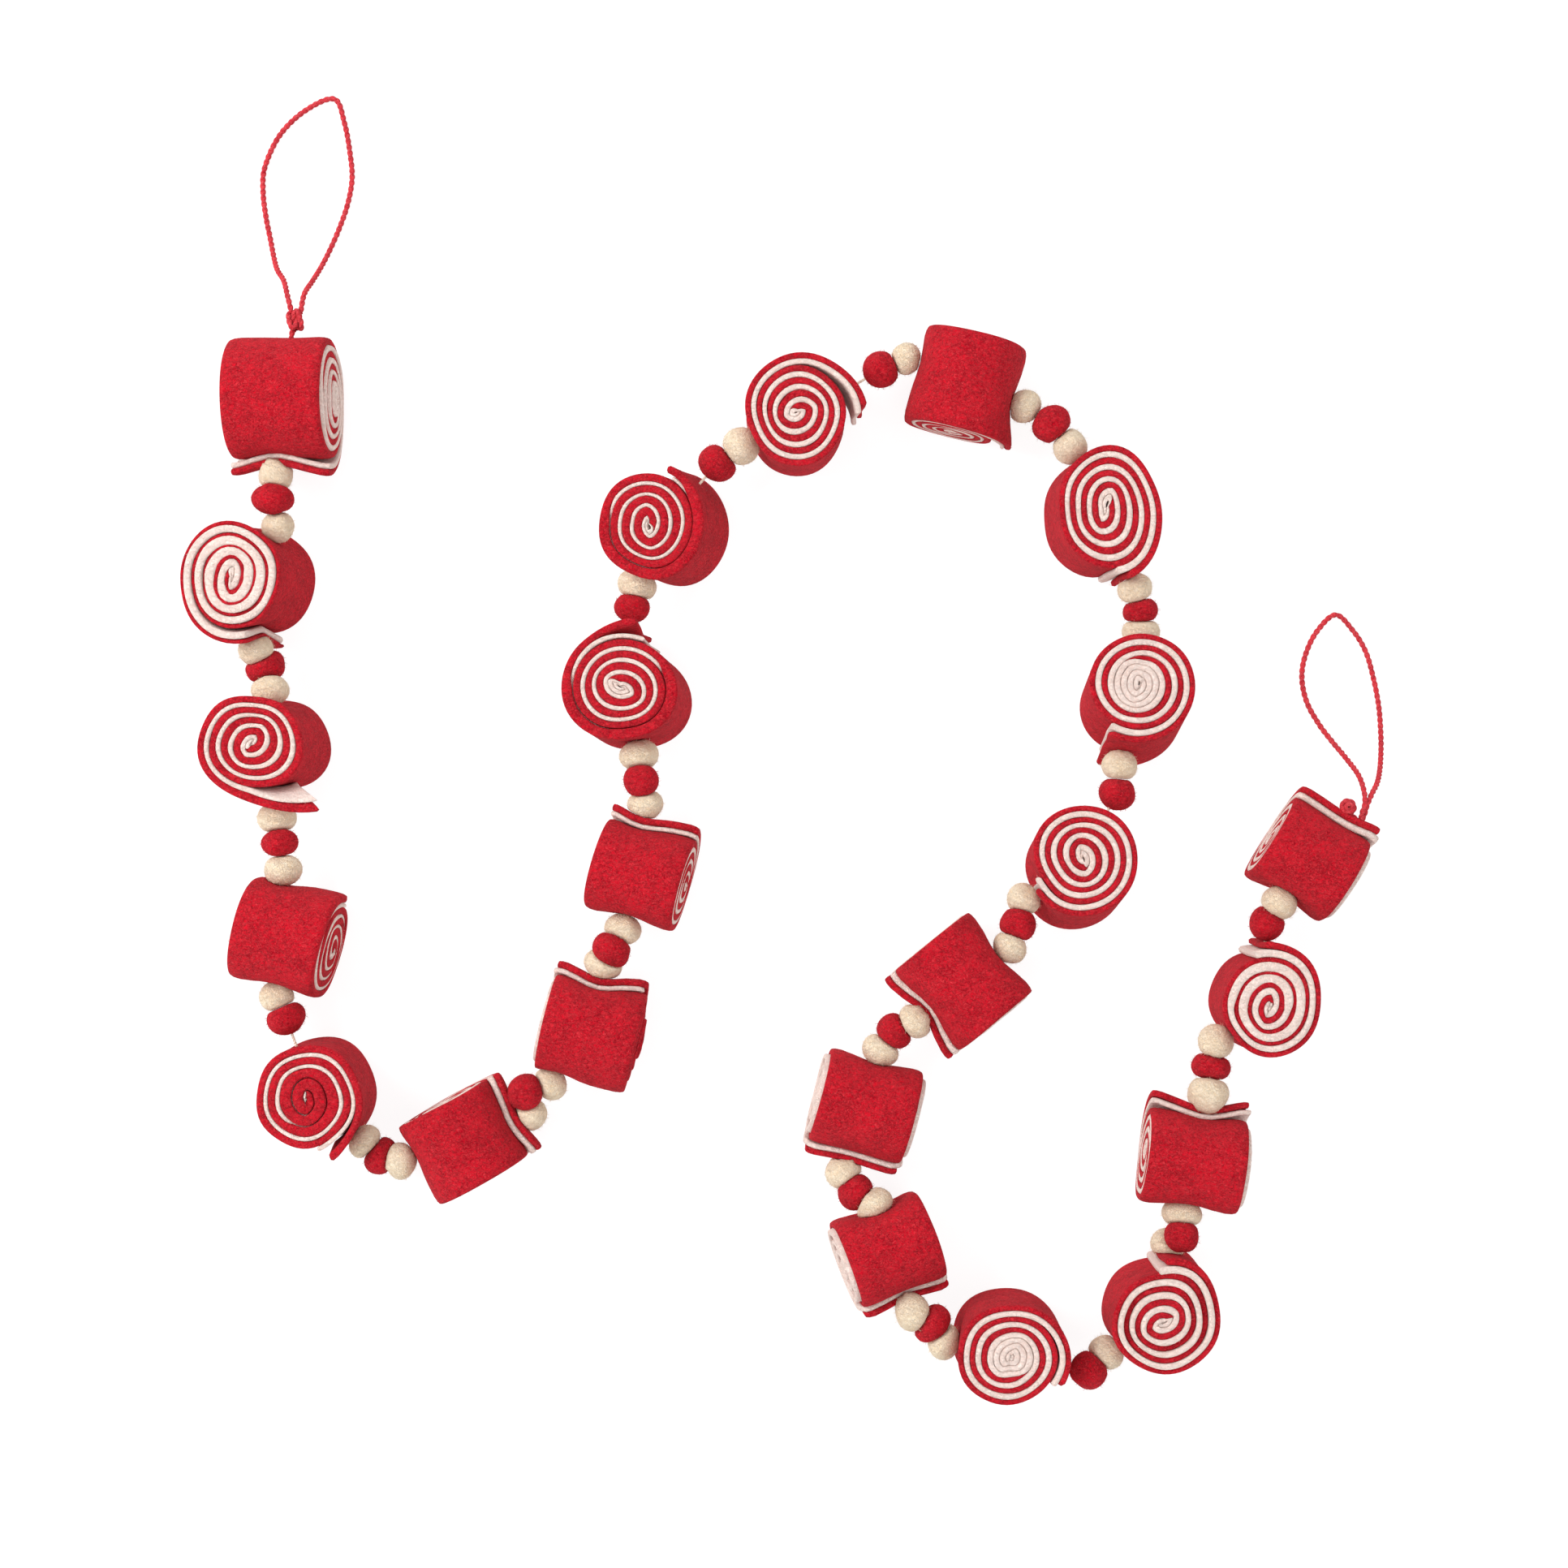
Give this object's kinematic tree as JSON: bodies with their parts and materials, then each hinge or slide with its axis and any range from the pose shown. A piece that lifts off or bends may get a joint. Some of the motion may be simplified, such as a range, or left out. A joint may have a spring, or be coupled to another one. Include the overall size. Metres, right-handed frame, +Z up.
{
  "type": "felt candy garland",
  "caption": "Rolled red and white felt candies strung with felt balls, laid in a curved line, with a cord loop at each end for hanging.",
  "frame": {"origin": "on the table, under the middle of the box of all the candies", "axes": "+Z up from the table, +X to the right and +Y to the top of the laid garland seen from above"},
  "size_m": [0.513, 0.5574, 0.0485],
  "materials": {
    "red_felt": "matte wool felt",
    "white_felt": "matte wool felt",
    "natural_felt": "matte wool felt ball",
    "thread": "matte cotton thread",
    "red_cord": "matte twisted cord"
  },
  "bodies": {
    "root": {"candy_01": "red_felt", "candy_02": "red_felt", "candy_03": "red_felt", "candy_04": "red_felt", "candy_05": "red_felt", "candy_06": "red_felt", "candy_07": "red_felt", "candy_08": "red_felt", "candy_09": "red_felt", "candy_10": "red_felt", "candy_11": "red_felt", "candy_12": "red_felt", "candy_13": "red_felt", "candy_14": "red_felt", "candy_15": "red_felt", "candy_16": "red_felt", "candy_17": "red_felt", "candy_18": "red_felt", "candy_19": "red_felt", "candy_20": "red_felt", "candy_21": "red_felt", "candy_22": "red_felt", "candy_23": "red_felt", "beads_01_02": "natural_felt", "beads_02_03": "natural_felt", "beads_03_04": "natural_felt", "beads_04_05": "natural_felt", "beads_05_06": "natural_felt", "beads_06_07": "natural_felt", "beads_07_08": "natural_felt", "beads_08_09": "natural_felt", "beads_09_10": "natural_felt", "beads_10_11": "natural_felt", "beads_11_12": "natural_felt", "beads_12_13": "natural_felt", "beads_13_14": "natural_felt", "beads_14_15": "natural_felt", "beads_15_16": "natural_felt", "beads_16_17": "natural_felt", "beads_17_18": "natural_felt", "beads_18_19": "natural_felt", "beads_19_20": "natural_felt", "beads_20_21": "natural_felt", "beads_21_22": "natural_felt", "beads_22_23": "natural_felt", "knot_left": "red_cord", "knot_right": "red_cord", "loop_left": "red_cord", "loop_right": "red_cord"}
  },
  "joints": []
}
